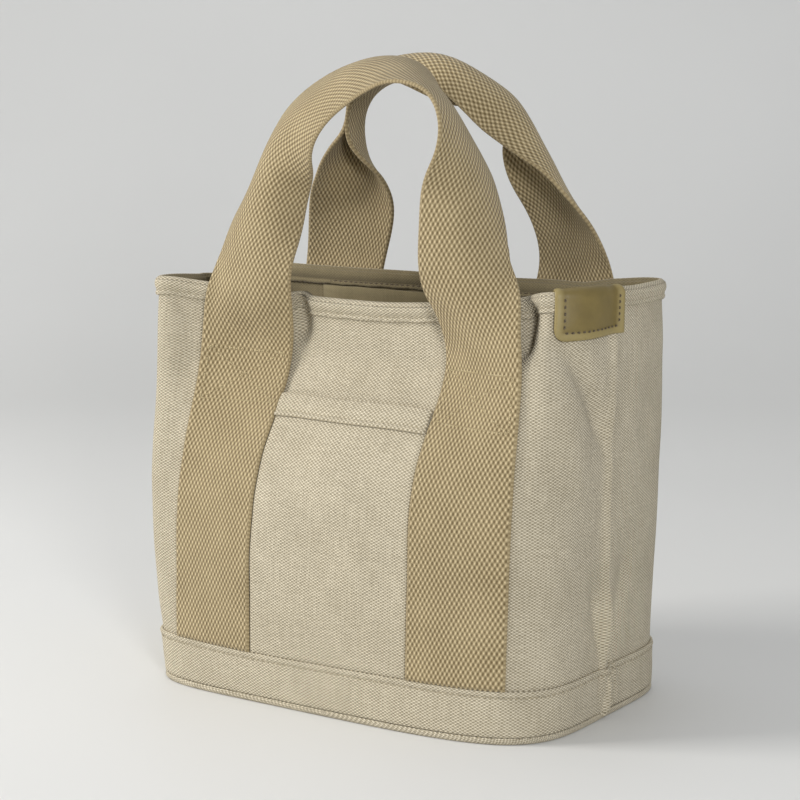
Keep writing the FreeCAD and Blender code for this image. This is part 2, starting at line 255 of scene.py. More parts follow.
# Soft folds: half of the wall, ends as (x, z), then how far it moves the canvas and its width.
FACE_FOLDS = (
    (-1, (95, 203), (93, 184), -13, 3.6),
    (-1, (89, 216), (86, 180), -10, 9),
    (-1, (104, 176), (106, 120), 1.0, 7),
    (-1, (-41, 200), (-44, 178), -9, 5.5),
    (-1, (38, 199), (41, 182), -1.6, 5),
    (-1, (-8, 128), (30, 84), 1.1, 12),
    (-1, (-34, 118), (6, 70), -1.1, 10),
    (-1, (20, 70), (-30, 40), 0.8, 12),
    (-1, (-104, 196), (-101, 150), -0.8, 5),
    (1, (0, 190), (10, 120), -0.8, 14),
    (1, (-30, 110), (30, 60), 0.6, 14),
    (1, (60, 185), (30, 130), 0.7, 12),
)
# The same on the sides, with ends as (distance from the seam, z); the sign tells which side.
SIDE_FOLDS = (
    (-1, 1, (40, 188), (8, 136), -5.0, 6),
    (-1, 1, (54, 172), (28, 118), 2.4, 10),
    (-1, 1, (11, 180), (8, 128), 0.9, 6),
    (-1, 1, (4, 26), (16, 64), -2.4, 3.5),
    (-1, 1, (6, 27), (4.5, 62), 2.4, 2.8),
    (1, 1, (4, 30), (20, 80), -1.6, 5),
    (1, 1, (30, 190), (16, 120), 0.8, 9),
    (1, 1, (12, 150), (12, 60), -0.5, 7),
    (-1, -1, (34, 190), (12, 120), -1.2, 8),
    (-1, -1, (4, 30), (18, 70), -0.8, 4),
    (1, -1, (30, 170), (12, 90), -0.9, 9),
    (1, -1, (5, 30), (14, 60), 0.8, 4),
)


def fold(across, z, low, top, rise, width):
    run = np.array(top, float) - low
    along = ((across - low[0]) * run[0] + (z - low[1]) * run[1]) / (run @ run)
    aside = ((across - low[0]) * run[1] - (z - low[1]) * run[0]) / math.sqrt(run @ run)
    return rise * smoothstep((along + 0.25) / 0.5) * smoothstep((1.25 - along) / 0.5) * hump(aside, width)


def relief(side, points):
    """How far folds, puckers and the seams move the canvas outwards."""
    x, y, z = points[..., 0], points[..., 1], points[..., 2]
    seam = np.abs(y)
    high = smoothstep((z - 30) / 40)
    found = 0.38 * high * np.sin(x / 17 + z / 29 + side) * np.sin(z / 21 - x / 37)
    found = found + 0.25 * high * np.sin(x / 9.1 - z / 13.7 + y / 8) * np.sin(z / 17.3 + 1.7)
    for half, *shape in FACE_FOLDS:
        if half == side:
            found = found + fold(x, z, *shape)
    for half, end, *shape in SIDE_FOLDS:
        if half == side:
            found = found + smoothstep((x * end - 98) / 12) * fold(seam, z, *shape)
    sides = np.abs(x) > 90
    step = 3.0 * hump(seam - 4.6, 3.0) if side < 0 else -1.3 * np.exp(-seam / 11)
    found = found + np.where(sides, step - 2.0 * hump(seam, 1.5), 0)
    foot = hump(z - 17, 13) * hump(seam - 3, 8)
    return found + np.where(sides, 1.1 * foot * np.sin(seam * 1.3 + z * 0.2), 0)


def shell(side, t, z, out):
    """Point at a height out from the canvas, and the way out."""
    t, z, out = np.broadcast_arrays(np.asarray(t, float), np.asarray(z, float), np.asarray(out, float))
    step_t, step_z = 0.0015, 0.6

    def surface(t, z):
        return plan(side, np.clip(t, 0, 1), z)

    base = surface(t, z)
    run = surface(t + step_t, z) - surface(t - step_t, z)
    rise = surface(t, z + step_z) - surface(t, z - step_z)
    normal = np.cross(run, rise)
    normal /= np.linalg.norm(normal, axis=-1)[..., None]
    normal *= -side
    # At the seams both halves look straight out sideways.
    seam = (1 - smoothstep(np.minimum(t, 1 - t) / 0.012))[..., None]
    sideways = np.zeros_like(normal)
    sideways[..., 0] = np.sign(base[..., 0])
    normal = normal * (1 - seam) + sideways * seam
    normal /= np.linalg.norm(normal, axis=-1)[..., None]
    return base + normal * (out + relief(side, base))[..., None]


def rim_height(side, t):
    point = plan(side, t, np.full_like(t, RIM_PLAN))
    x, y = point[..., 0], point[..., 1]
    height = (RIM_BACK if side > 0 else RIM_FRONT)(x)
    at_left = smoothstep((-x - 104) / 12)
    at_right = smoothstep((x - 104) / 12)
    height = height * (1 - at_left) + (206.8 - 3.2 * hump(y, 28)) * at_left
    return height * (1 - at_right) + (210.6 - 1.2 * smoothstep((y + 8) / 30)) * at_right


# ---- Meshes ----

def lines(low, high, step, lip=0.5):
    """Even lines between two edges, with one more close inside each edge."""
    count = max(2, round((high - low - 2 * lip) / step) + 1)
    return np.concatenate([[low], np.linspace(low + lip, high - lip, count), [high]])


def new_piece(name, points, faces, uv, material):
    """Mesh object from points in millimetres; uv has a pair for each point."""
    mesh = bpy.data.meshes.new(name)
    mesh.from_pydata((np.asarray(points) * MM).tolist(), [], faces)
    layer = mesh.uv_layers.new(name="flat")
    corner = np.empty(len(mesh.loops), np.int32)
    mesh.loops.foreach_get("vertex_index", corner)
    layer.data.foreach_set("uv", np.asarray(uv, np.float32)[corner].ravel())
    mesh.polygons.foreach_set("use_smooth", np.ones(len(mesh.polygons), bool))
    edit = bmesh.new()
    edit.from_mesh(mesh)
    bmesh.ops.recalc_face_normals(edit, faces=edit.faces)
    edit.to_mesh(mesh)
    edit.free()
    mesh.materials.append(material)
    piece = bpy.data.objects.new(name, mesh)
    bpy.context.scene.collection.objects.link(piece)
    return piece


def quads(rows, columns, start=0, wrap=False):
    """Faces of a grid of points, row by row."""
    row, column = np.meshgrid(np.arange(rows - 1), np.arange(columns - (not wrap)), indexing="ij")
    a = row * columns + column
    b = row * columns + (column + 1) % columns
    return np.stack([a, b, b + columns, a + columns], -1).reshape(-1, 4) + start


def slab(name, outer, inner, uv, material):
    """Closed sheet between two grids of points, joined round the edges."""
    rows, columns = outer.shape[:2]
    count = rows * columns
    index = np.arange(count).reshape(rows, columns)
    rim = np.concatenate([index[0, :-1], index[:-1, -1], index[-1, :0:-1], index[:0:-1, 0]])
    after = np.roll(rim, -1)
    edge = np.stack([rim, after, after + count, rim + count], -1)
    faces = np.concatenate([quads(rows, columns), quads(rows, columns, count), edge])
    points = np.concatenate([outer.reshape(-1, 3), inner.reshape(-1, 3)])
    flat = np.asarray(uv, float).reshape(-1, 2)
    return new_piece(name, points, faces.tolist(), np.concatenate([flat, flat]), material)


def edge_mask(rows, columns):
    mask = np.zeros((rows, columns))
    mask[[0, -1], :] = 1
    mask[:, [0, -1]] = 1
    return mask


def patch(name, side, xs, zs, low, high, material, bulge):
    """Sheet sewn on the wall, over a span of x and z, between two heights out from the canvas."""
    z, x = np.meshgrid(zs, xs, indexing="ij")
    more = bulge(x, z)
    t = t_of_x(side, x, z)
    soft = edge_mask(*x.shape) * (high - low) * 0.45
    outer = shell(side, t, z, high - soft + more)
    inner = shell(side, t, z, low + soft * 0.2 + more)
    return slab(name, outer, inner, np.stack([x, z], -1), material)


def half_ts(step=2.3):
    """Even places along a half of the wall, with one close inside each seam."""
    near = np.array((0, 0.6, 1.3, 2.1, 3, 4, 5.2, 6.6, 8.2, 10)) / HALF_WALL
    middle = np.linspace(near[-1], 1 - near[-1], round((1 - 2 * near[-1]) * HALF_WALL / step) + 1)
    return np.concatenate([near[:-1], middle, 1 - near[-2::-1]])


def arc(points):
    """Distance along a row of points."""
    return np.concatenate([[0], np.cumsum(np.linalg.norm(np.diff(points, axis=0), axis=1))])


def flat_uv(over, up):
    """Where each point of a grid lies on the cloth laid flat."""
    return np.stack(np.broadcast_arrays(over, up), -1)


def stitches(name, rows, material, length=2.5, pitch=3.2, width=0.75, height=0.45):
    """Thread lying in rows; each row is its points and the ways out of the cloth there."""
    ring = 6
    places = np.array((-0.5, -0.32, 0, 0.32, 0.5))
    sizes = np.array((0.25, 0.85, 1, 0.85, 0.25))
    lifts = np.array((-0.45, 0.25, 0.55, 0.25, -0.45))
    points, faces, uv = [], [], []
    for line, out in rows:
        far = arc(line)
        count = max(1, int(far[-1] / pitch))
        at = (np.arange(count) + 0.5) * far[-1] / count
        for middle in at:
            def on(table, place):
                return np.array([np.interp(place, far, table[:, i]) for i in range(3)])
            centre = on(line, middle)
            run = on(line, middle + 0.4) - on(line, middle - 0.4)
            run /= np.linalg.norm(run)
            up = on(out, middle)
            up -= run * (up @ run)
            up /= np.linalg.norm(up)
            aside = np.cross(up, run)
            start = len(points)
            for place, size, lift in zip(places, sizes, lifts):
                for corner in range(ring):
                    turn = 2 * math.pi * corner / ring
                    points.append(centre + run * place * length
                                  + aside * math.cos(turn) * width / 2 * size
                                  + up * (math.sin(turn) * height / 2 * size + lift * height))
                    uv.append((middle + place * length, corner))
            grid = quads(len(places), ring, start, wrap=True)
            faces.extend(grid.tolist())
            faces.append([start + corner for corner in range(ring)])
            end = start + ring * (len(places) - 1)
            faces.append([end + corner for corner in reversed(range(ring))])
    return new_piece(name, points, faces, uv, material)


def wall_row(side, ts, zs, out):
    """A row of thread on the wall: its points and the ways out."""
    points = shell(side, ts, zs, out)
    return points, shell(side, ts, zs, out + 1) - points


# ---- Materials ----

def colour(text):
    """Linear colour from a hex triple."""
    parts = [int(text[i:i + 2], 16) / 255 for i in (0, 2, 4)]
    return [c / 12.92 if c <= 0.04045 else ((c + 0.055) / 1.055) ** 2.4 for c in parts] + [1]


class Shader:
    """A material with its Principled shader, and short calls to add nodes."""

    def __init__(self, name, roughness, sheen=0.0, specular=0.3):
        self.material = bpy.data.materials.new(name)
        self.material.use_nodes = True
        self.tree = self.material.node_tree
        self.surface = next(n for n in self.tree.nodes if n.type == "BSDF_PRINCIPLED")
        self.surface.inputs["Roughness"].default_value = roughness
        self.surface.inputs["Specular IOR Level"].default_value = specular
        self.surface.inputs["Sheen Weight"].default_value = sheen
        self.surface.inputs["Sheen Roughness"].default_value = 0.6

    def put(self, value, socket):
        if isinstance(value, bpy.types.NodeSocket):
            self.tree.links.new(value, socket)
        else:
            socket.default_value = value

    def node(self, kind, **inputs):
        made = self.tree.nodes.new(kind)
        for name, value in inputs.items():
            self.put(value, made.inputs[name.replace("_", " ")])
        return made

    def math(self, operation, *values):
        made = self.tree.nodes.new("ShaderNodeMath")
        made.operation = operation
        for socket, value in zip(made.inputs, values):
            self.put(value, socket)
        return made.outputs[0]

    def times(self, a, b, plus=None):
        return self.math("MULTIPLY", a, b) if plus is None else self.math("MULTIPLY_ADD", a, b, plus)

    def less(self, a, b):
        return self.math("SUBTRACT", a, b)

    def flat(self):
        """The cloth's own two directions, in millimetres."""
        split = self.node("ShaderNodeSeparateXYZ", Vector=self.node("ShaderNodeTexCoord").outputs["UV"])
        return split.outputs["X"], split.outputs["Y"]

    def vector(self, x, y, z=0.0):
        return self.node("ShaderNodeCombineXYZ", X=x, Y=y, Z=z).outputs[0]

    def noise(self, where, scale, detail=2.0):
        made = self.node("ShaderNodeTexNoise", Scale=scale, Detail=detail)
        self.put(where, made.inputs["Vector"])
        return made.outputs[0]

    def ramp(self, low, high, share):
        made = self.tree.nodes.new("ShaderNodeMix")
        made.data_type = "RGBA"
        self.put(share, made.inputs["Factor"])
        self.put(low, made.inputs[6])
        self.put(high, made.inputs[7])
        return made.outputs[2]

    def finish(self, tint, height, strength, distance):
        self.put(tint, self.surface.inputs["Base Color"])
        bump = self.node("ShaderNodeBump", Strength=strength, Distance=distance, Height=height)
        self.put(bump.outputs["Normal"], self.surface.inputs["Normal"])
        return self.material


def canvas_material(name, dark, light, warp=1.25, weft=0.735, contrast=1.0, strength=0.9):
    """Plain weave of thick yarn: staggered dots, with slubs along both yarns."""
    s = Shader(name, roughness=0.92, sheen=0.1, specular=0.12)
    u, v = s.flat()
    drift = s.times(s.noise(s.vector(u, v), 0.09, 1.0), 1.1, s.times(u, 1 / warp))
    over = s.math("COSINE", s.times(drift, math.pi))
    along = s.math("COSINE", s.times(v, math.pi / weft))
    dots = s.times(over, along)
    slub_u = s.noise(s.vector(s.times(u, 0.1), v), 0.9, 1.0)
    slub_v = s.noise(s.vector(u, s.times(v, 0.08)), 0.8, 1.0)
    slubs = s.less(s.math("ADD", slub_u, slub_v), 1.0)
    cloud = s.less(s.noise(s.vector(u, v), 0.035, 3.0), 0.5)
    fleck = s.less(s.noise(s.vector(u, v), 0.8, 2.0), 0.5)
    share = s.math("POWER", s.times(dots, 0.5, 0.5), 1.4)
    share = s.times(share, contrast, 0.42 * (1 - contrast))
    share = s.times(slubs, 0.3, share)
    share = s.times(cloud, 0.3, share)
    share = s.times(fleck, 0.4, share)
    tint = s.ramp(colour(dark), colour(light), share)
    height = s.times(slubs, 0.4, dots)
    return s.finish(tint, height, strength, 0.35 * MM)


def webbing_material(name, dark, light):
    """Heavy webbing: slanting rows of raised seeds with dark gaps, and a beaded selvedge."""
    s = Shader(name, roughness=0.8, sheen=0.12, specular=0.2)
    u, v = s.flat()
    turn_u, turn_v = 2 * math.pi * 0.43, 2 * math.pi * 0.25
    drift = s.times(s.noise(s.vector(u, v), 0.12, 1.0), 1.2, s.times(u, turn_u))
    rise = s.times(v, turn_v)
    main = s.math("COSINE", s.less(drift, rise))
    cross = s.math("COSINE", s.math("ADD", drift, rise))
    seeds = s.times(cross, 0.85, main)
    edge = s.math("GREATER_THAN", s.math("ABSOLUTE", u), 24.0)
    beads = s.times(s.math("COSINE", s.times(v, math.pi / 1.0)), 0.5)
    seeds = s.math("ADD", s.times(seeds, s.less(1.0, edge)), s.times(beads, edge))
    fibre = s.less(s.noise(s.vector(s.times(u, 1.2), v), 1.4, 2.0), 0.5)
    cloud = s.less(s.noise(s.vector(u, v), 0.05, 2.0), 0.5)
    share = s.math("POWER", s.math("MAXIMUM", s.times(seeds, 0.27, 0.5), 0.0), 1.5)
    share = s.times(fibre, 0.35, share)
    share = s.times(cloud, 0.25, share)
    tint = s.ramp(colour(dark), colour(light), share)
    return s.finish(tint, s.times(fibre, 0.3, seeds), 0.55, 0.35 * MM)


def thread_material(name, dark, light):
    """Twisted thread."""
    s = Shader(name, roughness=0.7, sheen=0.2, specular=0.3)
    u, v = s.flat()
    twist = s.math("SINE", s.math("ADD", s.times(u, 7.0), v))
    share = s.times(twist, 0.35, 0.55)
    return s.finish(s.ramp(colour(dark), colour(light), share), twist, 0.4, 0.1 * MM)


def leather_material(name, dark, light, edge_tint):
    """Smooth pebbled leather, paler towards its cut edges."""
    s = Shader(name, roughness=0.48, specular=0.45)
    u, v = s.flat()
    where = s.vector(u, v)
    pores = s.node("ShaderNodeTexVoronoi", Scale=1.6)
    s.put(where, pores.inputs["Vector"])
    cloud = s.noise(where, 0.11, 3.0)
    fine = s.noise(where, 1.9, 4.0)
    tint = s.ramp(colour(dark), colour(light), s.times(fine, 0.3, s.times(cloud, 0.9)))
    mark = s.node("ShaderNodeAttribute")
    mark.attribute_name = "edge"
    tint = s.ramp(tint, colour(edge_tint), mark.outputs["Fac"])
    height = s.times(fine, 0.5, pores.outputs["Distance"])
    return s.finish(tint, height, 0.25, 0.12 * MM)


def board_material(name, dark, light):
    """Fibre board under a thin cloth."""
    s = Shader(name, roughness=0.9, specular=0.1)
    where = s.node("ShaderNodeTexCoord").outputs["Object"]
    fibre = s.noise(where, 900.0, 3.0)
    cloud = s.noise(where, 30.0, 2.0)
    share = s.times(cloud, 0.5, s.times(fibre, 0.5))
    return s.finish(s.ramp(colour(dark), colour(light), share), fibre, 0.3, 0.2 * MM)


CANVAS_LOOK = canvas_material("canvas", "9a8f76", "eee3ca")
# Lining cloth, darkened as painted shade for the inside of the bag.
LINING_AND_SHADE_LOOK = canvas_material("lining", "766b50", "998d6c", 0.6, 0.6, 0.5, 0.3)
# Darker copy of the canvas for the faces that look into the bag: painted shade.
INSIDE_SHADE_LOOK = canvas_material("canvas_inside_painted_shade", "6f654d", "958868", 0.9, 0.7, 0.5, 0.3)
WEBBING_LOOK = webbing_material("webbing", "6f5e3d", "d5c299")
LEATHER_LOOK = leather_material("leather", "62542f", "82713f", "9c8c5c")
# This thread is a little darker than the canvas: painted shade of the stitch holes along each row.
THREAD_LOOK = thread_material("thread", "8d8169", "b9ae93")
TAN_THREAD_LOOK = thread_material("tan_thread", "9a8962", "c6b58c")
DARK_THREAD_LOOK = thread_material("dark_thread", "33291a", "63543a")
BOARD_LOOK = board_material("board", "a09474", "b8ac8b")

TRIM = {}  # canvas, foot band and rim of each half


def finish_piece(piece, slot, *nodes):
    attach(piece, "bag")
    if nodes:
        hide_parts(*nodes)
    return piece


# ---- Canvas front and back ----

HALVES = ((-1, "front"), (1, "back"))


def shade_inside(piece, first, last):
    """Gives the faces that look into the bag a darker copy of the canvas: painted shade for the inside of
    the bag.
    """
    piece.data.materials.append(INSIDE_SHADE_LOOK)
    for polygon in piece.data.polygons[first:last]:
        polygon.material_index = 1


def wall_panel(side, face):
    ts = half_ts()
    rows = lines(0, 1, 0.0125, 0.003)
    top = rim_height(side, ts)
    share, t = np.meshgrid(rows, ts, indexing="ij")
    z = WALL_LOW + share * (top[None, :] - WALL_SHORT - WALL_LOW)
    outer = shell(side, t, z, 0)
    inner = shell(side, t, z, -CANVAS)
    over = arc(outer[len(rows) // 2])
    piece = slab(face + "_canvas", outer, inner, flat_uv(over, z), CANVAS_LOOK)
    count = (len(rows) - 1) * (len(ts) - 1)
    # The panel's faces that look into the bag get the painted shade.
    shade_inside(piece, count, 2 * count)
    return finish_piece(piece, "canvas", face + "_panel")


def foot_band(side, face):
    ts = half_ts()
    row = BAND_TOP - BAND_ROW
    zs = np.concatenate([lines(BAND_LOW, row - 2, 1.5, 0.5)[:-1], row + np.arange(-1.5, 3.2, 0.42),
                         [BAND_TOP]])
    z, t = np.meshgrid(zs, ts, indexing="ij")
    wave = 0.18 * np.sin(t * 330) * hump(z - row, 3)
    high = GAP + CLOTH + 0.4 * hump(z - (row + 1.9), 1.2) - 0.45 * hump(z - row, 0.6) + wave
    high = high + 0.25 * hump(z - 12, 6)
    soft = edge_mask(*z.shape) * CLOTH * 0.45
    soft[:, [0, -1]] = 0
    outer = shell(side, t, z, high - soft)
    inner = shell(side, t, z, GAP)
    over = arc(outer[len(zs) // 2])
    piece = slab(face + "_foot_band", outer, inner, flat_uv(over, z + BAND_SHIFT), CANVAS_LOOK)
    finish_piece(piece, "canvas", "bottom_band_" + face)
    line = wall_row(side, ts[1:-1], np.full(len(ts) - 2, row), GAP + CLOTH - 0.22)
    return piece, line


def rim_binding(side, face):
    """Doubled edge of the canvas: up the outside, over the top and down the inside."""
    low_out, low_in = GAP, -CANVAS - GAP
    thick = CLOTH
    middle = (low_out + low_in) / 2
    small = (low_out - low_in) / 2
    large = small + thick
    turn = np.linspace(0, math.pi, 11)
    up = np.array((-BINDING, -BINDING + 0.4, -8.4, -7.6, -7.0, -6.4, -5.6, -4.4, -3.2, -2.2, -1.4))
    puff = 1.0 * hump(up + 3.8, 2.4) + 0.4 * hump(up + 8.4, 0.8) - 0.4 * hump(up + RIM_ROW, 0.5)
    puff[0] = -0.45 * thick
    down = up[::-1]
    back_puff = puff[::-1]
    lift = -large
    outer_out = np.concatenate([low_out + thick + puff, middle + large * np.cos(turn),
                                low_in - thick - back_puff])
    outer_drop = np.concatenate([up, lift + large * np.sin(turn), down])
    inner_out = np.concatenate([np.full(len(up), low_out), middle + small * np.cos(turn),
                                np.full(len(up), low_in)])
    inner_drop = np.concatenate([up, lift + small * np.sin(turn), down])
    ts = half_ts()
    top = rim_height(side, ts)
    ragged = 0.15 * np.sin(ts * 410) + 0.2 * np.sin(ts * 133)
    share = np.linspace(0, 1, len(outer_out))
    t = np.broadcast_to(ts, (len(share), len(ts)))

    def grid(out, drop):
        z = top[None, :] + drop[:, None] + ragged[None, :] * (drop[:, None] < -8)
        return shell(side, t, z, np.broadcast_to(out[:, None], z.shape))

    outer = grid(outer_out, outer_drop)
    inner = grid(inner_out, inner_drop)
    over = arc(outer[0])
    length = arc(np.stack([outer_out, outer_drop, 0 * outer_out], -1))
    piece = slab(face + "_rim", outer, inner, flat_uv(over, length[:, None] + RIM_SHIFT), CANVAS_LOOK)
    # The rim's faces that look into the bag get the painted shade.
    shade_inside(piece, (len(up) + 6) * (len(ts) - 1), (len(share) - 1) * (len(ts) - 1))
    finish_piece(piece, "canvas", "rim_binding_" + face)
    middle_ts = ts[1:-1]
    row = top[1:-1] - RIM_ROW
    outside = wall_row(side, middle_ts, row, low_out + thick - 0.22)
    if side > 0:
        x = plan(side, middle_ts, row)[:, 0]
        row = row - 0.4 - 1.9 * (1 - smoothstep((x + 76) / 7))
    points, ways = wall_row(side, middle_ts, row, low_in - thick + 0.1)
    return piece, outside, (points, -ways)


band_rows, rim_rows, inside_rows = [], [], []
for side, face in HALVES:
    panel = wall_panel(side, face)
    band, row = foot_band(side, face)
    rim, outside, inside = rim_binding(side, face)
    band_rows.append(row)
    rim_rows.append(outside)
    inside_rows.append(inside)
    TRIM[face] = (panel, band, rim)

finish_piece(stitches("band_thread", band_rows, THREAD_LOOK), "thread")
finish_piece(stitches("rim_thread", rim_rows, THREAD_LOOK), "thread")
finish_piece(stitches("inside_rim_thread", inside_rows, DARK_THREAD_LOOK, length=2.9, pitch=3.3),
             "dark_thread")


# ---- Base ----

def base_cloth():
    ts = half_ts(3)
    front = plan(-1, ts, np.zeros_like(ts))
    back = plan(1, ts[::-1], np.zeros_like(ts))[1:-1]
    ring = np.concatenate([front, back])
    lip = node_box("base_panel")[1][2]
    # Share of the plan, how far out of it, and height: underside, edge, then the inside.
    section = (
        (0.02, 0, 0.0), (0.3, 0, 0.0), (0.6, 0, 0.0), (0.85, 0, 0.0), (0.97, 0, 0.0),
        (1, 0.3, 0.15), (1, 0.9, 0.5), (1, 1.3, 1.2), (1, 1.35, 2.0), (1, 1.2, lip - 0.4),
        (1, 0.8, lip - 0.1), (1, 0.35, lip - 0.3), (1, 0.1, 1.6), (0.97, 0, 1.6), (0.85, 0, 1.6),
        (0.6, 0, 1.6), (0.3, 0, 1.6), (0.02, 0, 1.6),
    )
    around = np.roll(ring, -1, 0) - np.roll(ring, 1, 0)
    way = np.stack([around[:, 1], -around[:, 0], 0 * around[:, 0]], -1)
    way /= np.linalg.norm(way, axis=1)[:, None]
    points = []
    for share, out, height in section:
        row = ring * (share, share, 1) + way * out
        row[:, 2] = height
        points.append(row)
    points = np.array(points)
    rows, columns = points.shape[:2]
    faces = quads(rows, columns, wrap=True).tolist()
    faces.append(list(range(columns)))
    faces.append([(rows - 1) * columns + i for i in reversed(range(columns))])
    flat = points.reshape(-1, 3)
    uv = flat[:, :2] + np.sign(flat[:, :2]) * flat[:, 2:]
    piece = new_piece("base_canvas", flat, faces, uv, CANVAS_LOOK)
    return finish_piece(piece, "canvas", "base_panel")


base = base_cloth()
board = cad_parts["base_board"]
board.data.materials.clear()
board.data.materials.append(BOARD_LOOK)


# ---- Pockets and tapes ----

def gape(x, z):
    """The pocket's mouth stands a little away from the wall between the straps."""
    room = np.clip(1 - (x / POCKET_HIGH[0]) ** 2, 0, 1)
    return 1.3 * room * smoothstep((z - 110) / 40)


pocket_xs = lines(POCKET_LOW[0], POCKET_HIGH[0], 2.4)
pocket = finish_piece(
    patch("front_patch_pocket", -1, pocket_xs, lines(POCKET_LOW[2], POCKET_HIGH[2], 2.4),
          GAP, GAP + CLOTH, CANVAS_LOOK, gape), "canvas", "front_pocket")


def hem_shape(x, z):
    row = HEM_LOW + HEM_ROW
    return (gape(x, z) + 0.3 + 0.6 * hump(z - row - 4, 3) + 0.6 * hump(z - HEM_LOW - 0.8, 0.8)
            - 0.4 * hump(z - row, 0.5))


hem = finish_piece(
    patch("pocket_mouth_hem", -1, pocket_xs, lines(HEM_LOW, POCKET_HIGH[2] + 0.4, 0.5),
          2 * GAP + CLOTH, 2 * GAP + 2 * CLOTH, CANVAS_LOOK, hem_shape), "canvas", "pocket_hem")
hem_xs = pocket_xs[1:-1]
hem_zs = np.full(len(hem_xs), HEM_LOW + HEM_ROW)
hem_line = wall_row(-1, t_of_x(-1, hem_xs, hem_zs), hem_zs,
                    2 * GAP + 2 * CLOTH - 0.15 + hem_shape(hem_xs, hem_zs))
finish_piece(stitches("pocket_hem_thread", [hem_line], THREAD_LOOK), "thread")

inner_xs = lines(LINING_LOW[0], LINING_HIGH[0], 3)


def inner_gape(x, z):
    left = hump(x + 66, 9) * smoothstep((z - 170) / 20)
    return -1.6 * left - 0.7 * smoothstep((z - 150) / 45) * np.clip(1 - (x / 76) ** 2, 0, 1)


# The inner pocket's lining is darkened by painted shade.
inner = finish_piece(
    patch("inner_slip_pocket", 1, inner_xs, lines(LINING_LOW[2], LINING_HIGH[2], 3),
          -CANVAS - GAP, -CANVAS - GAP - CLOTH, LINING_AND_SHADE_LOOK, inner_gape), "lining", "inner_pocket")


def seam_tape(name, at_end, node):
    """Tape over the raw edges inside a side seam, half on each panel."""
    low, high = node_box(node)
    zs = lines(low[2], high[2], 3)
    offsets = np.array((-5, -4.6, -3, -1.5, -0.4, 0.4, 1.5, 3, 4.6, 5))
    outs = np.array((-CANVAS - GAP - CLOTH * 0.9, -CANVAS - GAP))[:, None]
    rows = []
    for offset in offsets:
        share = abs(offset) / NEAR_SEAM
        rows.append(shell(-1 if offset < 0 else 1, 1 - share if at_end else share, zs, outs))
    outer, inner = np.array(rows).transpose(1, 2, 0, 3)
    over, z = np.meshgrid(offsets, zs)
    return finish_piece(slab(name, outer, inner, np.stack([over, z], -1), LINING_AND_SHADE_LOOK), "lining", node)


tapes = [seam_tape("seam_binding_left", False, "seam_tape_left"),
         seam_tape("seam_binding_right", True, "seam_tape_right")]


# ---- Webbing: each side is one length, sewn up one strap, round the loop and down the other strap ----

# Stations along each free loop: centre x, y and z, roll about the length (0 is face up at the
# top, -90 face forwards on the way up), cup of each half, and how sharply it creases. Most rows
# come from a fit to the photo and not from the builder's hand.
FRONT_LOOP = (
    (-71.2, -37.7, 172.9, -105.6, 2, 0.5),
    (-68.3, -42, 184.3, -101.7, 12.4, 0.5),
    (-66.1, -46.1, 197.1, -94.5, 22.7, 0.5),
    (-64.1, -46.8, 217.4, -83.5, 31.6, 0.8),
    (-62, -42.5, 237.3, -86.8, 49.6, 1.2),
    (-59, -38.9, 257.6, -78.3, 58.7, 1.8),
    (-52.1, -36, 276.5, -60.2, 33.7, 2.2),
    (-36.7, -32.3, 295.1, -43.8, 18.8, 2.2),
    (-13.5, -29.7, 310.7, -30, 25.2, 1.8),
    (14.4, -26.9, 313.3, -7.5, 24.3, 1),
    (38.4, -27.4, 298.6, 23.5, 25.2, 0.7),
    (52.6, -32.1, 282.1, 17.5, 18.9, 0.5),
    (59.9, -36.6, 266, -4.5, 31.1, 0.5),
    (62.3, -42.4, 248.1, -36.7, 46.4, 0.5),
    (64.8, -49, 226.3, -55, 36, 0.5),
    (66.2, -51.5, 208.5, -78, 31, 0.5),
    (67.2, -48.5, 193, -99, 24, 0.5),
    (71, -43.5, 172, -109, 2, 0.5),
)
BACK_LOOP = (
    (-71, 43, 172, 90, 2, 0.5),
    (-69.5, 46, 190, 92, 3, 0.5),
    (-66.2, 47.5, 209.6, 92.3, 15.8, 0.5),
    (-62.7, 47.4, 227.3, 83.5, 23.2, 0.5),
    (-60.8, 47.5, 241.3, 75.6, 35.1, 1),
    (-60, 47.6, 251.5, 73.9, 55.4, 1.5),
    (-59.3, 47.1, 261, 76.3, 68.2, 2.5),
    (-58.2, 45.8, 270.4, 78.8, 81.2, 4),
    (-57.1, 44.3, 278, 77.9, 92.5, 5),
    (-55.3, 42.5, 286, 73.4, 102, 5),
    (-48.9, 40.9, 296.8, 78.1, 102.3, 5),
    (-33.4, 38.8, 307, 90.2, 97.9, 4),
    (-13.7, 36.5, 312.3, 80.7, 106.7, 2.5),
    (9.2, 32.2, 313.7, 34.7, 112.1, 1),
    (32.2, 30.4, 303.1, 1.7, 76.6, 0.6),
    (43.4, 31.5, 294.2, 1.6, 87.9, 0.5),
    (51.8, 33.7, 283.5, 23.5, 100.1, 0.5),
    (57.2, 36.9, 269.9, 50.1, 88.2, 0.5),
    (63, 40.2, 252.9, 56.9, 51.6, 0.5),
    (68.7, 45.3, 232, 64.3, 23.5, 0.5),
    (70.4, 47.4, 209.2, 74.7, 6.1, 0.5),
    (70, 46, 190, 88, 4, 0.5),
    (71, 43, 172, 90, 2, 0.5),
)
ACROSS = np.concatenate([[-25, -24.85, -24.4, -23.7], np.linspace(-22.5, 22.5, 25),
                         [23.7, 24.4, 24.85, 25]])
ROW_STEP = 2.0  # between rows of points along the webbing
JOIN = 12.0  # length over which the loop takes over from the sewn strap
EASE = 13.0  # reach of the easing round that join
SEWN_FACES = []  # the way across each sewn strap, its face and the ways out, for its box stitches


